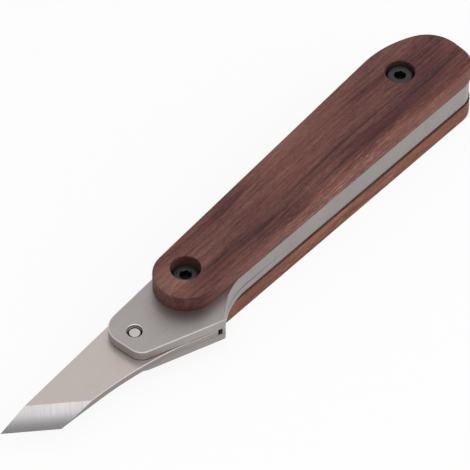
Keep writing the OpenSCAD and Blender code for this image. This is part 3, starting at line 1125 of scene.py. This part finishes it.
LOWER_HOLES = [
    (BLADE_PIN_AT, PIN_R), (FRONT_DOWEL_AT, PIN_R), (REAR_DOWEL_AT, PIN_R),
    (FRONT_SCREW_AT, HOLE_R), (REAR_SCREW_AT, HOLE_R),
]
lower_tools = [drill(at, r, LOWER_PLATE_Z - PAST, PARTING_Z + PAST) for at, r in LOWER_HOLES]
lower_plate = cut(plate_slab(LOWER_PLATE_Z, PARTING_Z, FOOT_BREAK, SEAM_BREAK), lower_tools)
finish_plate("lower_plate_steel", lower_plate, "lower_half", "lower_plate", plate_finishes)

# Blade
blade_line = moved(steel_spine_line, SPINE_PROUD)
SPINE_WAY = blade_line[0] - math.pi / 2
EDGE_WAY = SPINE_WAY - EDGE_ANGLE
FINGER_WAY = SPINE_WAY - WIDEN_ANGLE
HEAD_WAY = head_line[0] + math.pi / 2
blade_tip = on_line(blade_line, -TIP_REACH)
edge_heel = blade_tip + BLADE_W / math.sin(EDGE_ANGLE) * spoke(EDGE_WAY)
edge_side = spoke(EDGE_WAY + math.pi / 2)
edge_place = edge_side.dot(blade_tip)

# Finishes of the blade's faces, and the z of the normals of its bevel and sides
ON_FLAT, ON_BEVEL, ON_BLADE_RIM = range(3)
BEVEL_TILT = 0.5
BLADE_RIM_TILT = 0.3


def blade_face():
    """Outline of the blade with its hollow finger side."""
    bend = crossing(head_line, edge_heel, spoke(FINGER_WAY))
    turn = (HEAD_WAY - FINGER_WAY + math.pi) % TURN - math.pi
    run = HOLLOW_R * math.tan(-turn / 2)
    start = bend - run * spoke(FINGER_WAY)
    centre = start + HOLLOW_R * spoke(FINGER_WAY - math.pi / 2)
    points = [on_line(head_line, TANG_END), on_line(blade_line, TANG_END), blade_tip, edge_heel]
    bm = bmesh.new()
    first = bm.verts.new((*start, 0))
    last = arc_end(bm, first, (*centre, 0), UP, turn, HOLLOW_STEPS)
    for point in points:
        vert = bm.verts.new((*point, 0))
        bm.edges.new((last, vert))
        last = vert
    bm.edges.new((last, first))
    bmesh.ops.contextual_create(bm, geom=bm.edges[:])
    return bm


def off_the_edge(edge):
    """True for every rim edge of the blade but the cutting edge."""
    return any(abs(edge_side.dot(vert.co.xy - blade_tip)) > ON_LINE for vert in edge.verts)


def on_spine(edge):
    """True for the blade's spine."""
    return all(abs(spoke(blade_line[0]).dot(vert.co.xy) - blade_line[1]) < ON_LINE for vert in edge.verts)


def on_finger_side(edge):
    """True for the hollow side of the blade."""
    on_tang_end = all(vert.co.x > TANG_END - ON_LINE for vert in edge.verts)
    return off_the_edge(edge) and not on_spine(edge) and not on_tang_end


def wheel_place():
    """Axis of the wheel that hollowed the bevel, as (distance behind the edge, height)."""
    rise = BLADE_T - EDGE_LAND
    slant = math.hypot(BEVEL_W, rise)
    reach = math.sqrt(GRIND_R ** 2 - slant ** 2 / 4)
    return BEVEL_W / 2 - reach * rise / slant, (BLADE_T + EDGE_LAND) / 2 + reach * BEVEL_W / slant


def grinding_wheel():
    """The sector of the wheel that reaches the blade, lying along the cutting edge."""
    behind, height = wheel_place()
    bm = bmesh.new()
    foot = (0, behind + GRIND_R * math.cos(WHEEL_START), height + GRIND_R * math.sin(WHEEL_START))
    start = bm.verts.new(foot)
    last = arc_end(bm, start, (0, behind, height), (1, 0, 0), WHEEL_TURN, WHEEL_STEPS)
    top = bm.verts.new((0, behind, height))
    bm.edges.new((last, top))
    bm.edges.new((top, start))
    sector = bmesh.ops.contextual_create(bm, geom=bm.edges[:])["faces"]
    drawn_out(bm, sector, (WHEEL_WIDE, 0, 0))
    slid(bm, (-WHEEL_LEAD, 0, 0))
    outward(bm)
    place = Matrix.Translation((*blade_tip, PARTING_Z)) @ Matrix.Rotation(EDGE_WAY, 4, "Z")
    bmesh.ops.transform(bm, matrix=place, verts=bm.verts[:])
    return bm


def blade_finish(face):
    """Which of the blade's finishes a face takes."""
    behind, height = wheel_place()
    from_edge = edge_side.dot(face.center.xy - blade_tip)
    reach = math.hypot(from_edge - behind, face.center.z - PARTING_Z - height)
    if abs(reach - GRIND_R) < ON_WHEEL and face.normal.z > BEVEL_TILT:
        return ON_BEVEL
    return ON_BLADE_RIM if abs(face.normal.z) < BLADE_RIM_TILT else ON_FLAT


blade_slab = raised(blade_face(), PARTING_Z, BLADE_TOP_Z)
eased(blade_slab, BLADE_TOP_Z, BLADE_FINGER_BREAK, BROKEN, on_finger_side)
eased(blade_slab, BLADE_TOP_Z, BLADE_BREAK, BROKEN, on_spine)
eased(blade_slab, PARTING_Z, BLADE_FOOT_BREAK, BEVELED, off_the_edge)
pin_hole = drill(BLADE_PIN_AT, PIN_R + FIT, PARTING_Z - PAST, BLADE_TOP_Z + PAST)
blade = cut(blade_slab, [grinding_wheel(), pin_hole])
for face in blade.polygons:
    face.material_index = blade_finish(face)

bevel_steel = satin_steel(
    "blade_bevel_steel", linear(162, 160, 160), "bevel_lines", roughness=0.14, line_turn=-EDGE_WAY,
    contrast=BEVEL_CONTRAST, bevel_shade=(edge_place + BEVEL_SHADE_START, edge_place + BEVEL_SHADE_FULL),
)
blade_finishes = [flat_steel, bevel_steel, rim_steel]
finish_piece("blade_ground", blade, "blade", "blade", blade_finishes, BLADE_SHARP)


# Pins and dowels
def ground_pin(node, at, name):
    """A ground pin with beveled ends."""
    low, high = node_height(node)
    profile = [
        (0, low), (PIN_R - PIN_BREAK, low), (PIN_R, low + PIN_BREAK),
        (PIN_R, high - PIN_BREAK), (PIN_R - PIN_BREAK, high), (0, high),
    ]
    bright = ringed_metal(
        name + "_bright_steel", at, linear(196, 187, 184), roughness=0.24, ring_mm=0.35, ring_depth=0.004,
        metallic=1.0,
    )
    finish_piece(name, as_mesh(turned(profile, at)), "lower_half", node, [bright])


ground_pin("blade_pin", BLADE_PIN_AT, "blade_pin_ground")
ground_pin("front_dowel", FRONT_DOWEL_AT, "front_dowel_ground")
ground_pin("rear_dowel", REAR_DOWEL_AT, "rear_dowel_ground")


# Screws and nuts
def thread(r, low, high):
    """A ridge that winds up a shank."""
    bm = bmesh.new()
    root = r - THREAD_DEPTH - THREAD_ROOT
    corners = [(root, -THREAD_HALF), (r, 0.0), (root, THREAD_HALF)]
    section = bm.faces.new([bm.verts.new((radius, 0, low + THREAD_HALF + z)) for radius, z in corners])
    turns = int((high - low - 2 * THREAD_HALF) / THREAD_PITCH)
    made = bmesh.ops.spin(
        bm, geom=section.verts[:] + section.edges[:], cent=(0, 0, 0), axis=UP, angle=TURN * turns,
        steps=THREAD_STEPS * turns, dvec=(0, 0, THREAD_PITCH / THREAD_STEPS),
    )
    end = [part for part in made["geom_last"] if isinstance(part, bmesh.types.BMEdge)]
    bmesh.ops.contextual_create(bm, geom=end)
    outward(bm)
    return bm


def screw_profile(low, seat, high):
    """Half a section of a screw, from its tail to its head."""
    core = SCREW_R - THREAD_DEPTH
    shank = [
        (0, low), (core - TAIL_IN, low), (core, low + TAIL_UP),
        (core, seat - NECK_LOW), (SCREW_R, seat - NECK_HIGH), (SCREW_R, seat),
    ]
    head = [
        (HEAD_R - HEAD_FOOT, seat), (HEAD_R, seat + HEAD_FOOT), (HEAD_R, high - HEAD_ROUND),
        (HEAD_R - HEAD_CORNER, high - HEAD_CORNER), (HEAD_R - HEAD_ROUND, high), (0, high),
    ]
    return shank + head


def cap_screw(node, at, name):
    """A socket cap screw with a knurled head, a broken socket mouth and a wound thread."""
    low, high = node_height(node)
    seat = high - HEAD_H + HAIR
    blank = turned(screw_profile(low, seat, high))
    for vert in blank.verts:
        spot = round(bearing(vert.co) / TURN * ROUND_SIDES)
        if spot % 2 and vert.co.xy.length > HEAD_R - ON_LINE:
            vert.co.xy *= (HEAD_R - KNURL_DEPTH) / HEAD_R
    socket = hexagon(SOCKET_KEY, high - SOCKET_DEPTH, high + PAST)
    corner_r = corner_radius(SOCKET_KEY)
    foot, over = high - CONE_DEEP, high + CONE_OVER
    mouth = turned([(0, foot), (corner_r - CONE_IN, foot), (corner_r + CONE_OUT, over), (0, over)])
    wound = as_mesh(thread(SCREW_R, low + THREAD_START, seat - NECK_HIGH))
    mesh = as_mesh(opened(cut(blank, [socket, mouth]), wound))
    mesh.transform(Matrix.Translation((*at, 0)))
    black = ringed_metal(
        name + "_black_oxide", at, linear(52, 52, 52), roughness=0.4, ring_mm=0.55, ring_depth=0.02,
        metallic=0.55, pit=(corner_r, high),
    )
    finish_piece(name, mesh, node, node, [black], SCREW_SHARP)


cap_screw("front_screw", FRONT_SCREW_AT, "front_cap_screw")
cap_screw("rear_screw", REAR_SCREW_AT, "rear_cap_screw")


def hex_nut(node, at, name):
    """A hexagon nut with turned-down corners and a plain bore for the thread."""
    low, high = node_height(node)
    face_r = NUT_KEY / 2 - NUT_FACE_IN
    over_r = corner_radius(NUT_KEY) + NUT_CORNER_OVER
    dome = [
        (0, low), (face_r, low), (over_r, low + NUT_CORNER_DOWN),
        (over_r, high - NUT_CORNER_DOWN), (face_r, high), (0, high),
    ]
    blank = cut(hexagon(NUT_KEY, low, high), [turned(dome)], "INTERSECT")
    bore = drill((0, 0), SCREW_R + FIT, low - PAST, high + PAST)
    mesh = cut(opened(blank), [bore])
    mesh.transform(Matrix.Translation((*at, 0)))
    black = ringed_metal(
        name + "_black_oxide", at, linear(58, 60, 62), roughness=0.42, ring_mm=0.5, ring_depth=0.015,
        metallic=0.55,
    )
    finish_piece(name, mesh, "lower_half", node, [black])


hex_nut("front_nut", FRONT_SCREW_AT, "front_hex_nut")
hex_nut("rear_nut", REAR_SCREW_AT, "rear_hex_nut")

# Stage, lights and camera, in metres unless a name says otherwise
AIM = Vector((23.1, 3.4, 10.15)) * MM
YAW = math.radians(50.31)
RISE = math.radians(48.5)
CAMERA_FAR = 1.2
CAMERA_CLIP = 20
PICTURE_PX = 470
FOCAL_PX = 4500
SENSOR_MM = 36.0
FLOOR_HALF = 3.0
FLOOR_DROP = 0.0001
FLOOR_PALE = 0.9
FLOOR_ROUGHNESS = 0.9
FLOOR_GLOW = 0.88
SKY_STRENGTH = 0.49
# Soft boxes as (name, place, way they face, roll in degrees, size, watts, whether metal mirrors them)
SOFT_BOXES = [
    ("overhead", (-0.438, -0.478, 1.0), (0, 0, -1), 45.0, (1.5, 1.5), 7.65, True),
    ("finger_side", (0.6, -0.9, 0.5), (-0.55, 0.9, -0.46), 0.0, (1.3, 0.95), 6.6, False),
]


def place_camera():
    """The camera at the photograph's angle."""
    lens = bpy.data.cameras.new("camera")
    lens.sensor_width = SENSOR_MM
    lens.lens = SENSOR_MM * FOCAL_PX / PICTURE_PX
    lens.clip_end = CAMERA_CLIP
    camera = in_scene("camera", lens)
    ahead = Vector((math.sin(YAW) * math.cos(RISE), math.cos(YAW) * math.cos(RISE), -math.sin(RISE)))
    camera.location = AIM - ahead * CAMERA_FAR
    camera.rotation_euler = ahead.to_track_quat("-Z", "Y").to_euler()
    bpy.context.scene.camera = camera


def soft_light(name, place, facing, roll_degrees, size, watts, mirrored):
    """A soft box, rolled about the way it faces. It isn't seen itself, but metal may mirror it."""
    lamp = bpy.data.lights.new(name, "AREA")
    lamp.shape = "RECTANGLE"
    lamp.size, lamp.size_y = size
    lamp.energy = watts
    made = in_scene(name, lamp)
    made.location = place
    aimed = Vector(facing).to_track_quat("-Z", "Y").to_matrix().to_4x4()
    made.rotation_euler = (aimed @ Matrix.Rotation(math.radians(roll_degrees), 4, "Z")).to_euler()
    made.visible_camera = False
    made.visible_glossy = mirrored


def seen_share(tree):
    """1 for rays from the camera, a mirror or glass, and 0 for light that spreads."""
    path = add(tree, "LightPath").outputs
    share = calc(tree, "MAXIMUM", path["Is Camera Ray"], path["Is Glossy Ray"])
    return calc(tree, "MAXIMUM", share, path["Is Transmission Ray"])


def white_floor():
    """A pale floor that looks white and keeps a soft shadow."""
    bm = bmesh.new()
    bmesh.ops.create_grid(bm, x_segments=1, y_segments=1, size=FLOOR_HALF)
    slid(bm, (0, 0, -FLOOR_DROP))
    mesh = as_mesh(bm)
    floor = in_scene("floor", mesh)
    finish, tree, shader = new_finish("pale_floor")
    shader.inputs["Base Color"].default_value = shaded(WHITE, FLOOR_PALE)
    shader.inputs["Roughness"].default_value = FLOOR_ROUGHNESS
    glow = add(tree, "Emission", {"Color": WHITE, "Strength": 1.0})
    share = times(tree, seen_share(tree), FLOOR_GLOW)
    both = add(tree, "MixShader", {0: share, 1: shader.outputs[0], 2: glow.outputs[0]})
    tree.links.new(both.outputs[0], tree.nodes["Material Output"].inputs["Surface"])
    mesh.materials.append(finish)


def studio_sky():
    """An even pale surround, white where it is seen."""
    world = bpy.data.worlds.new("studio")
    bpy.context.scene.world = world
    world.use_nodes = True
    tree = world.node_tree
    tree.nodes.clear()
    even = add(tree, "Background", {"Color": WHITE, "Strength": SKY_STRENGTH})
    seen = add(tree, "Background", {"Color": WHITE, "Strength": 1.0})
    both = add(tree, "MixShader", {0: seen_share(tree), 1: even.outputs[0], 2: seen.outputs[0]})
    add(tree, "OutputWorld", {"Surface": both.outputs[0]})


place_camera()
white_floor()
studio_sky()
for soft_box in SOFT_BOXES:
    soft_light(*soft_box)
bpy.context.scene.view_settings.view_transform = "Standard"
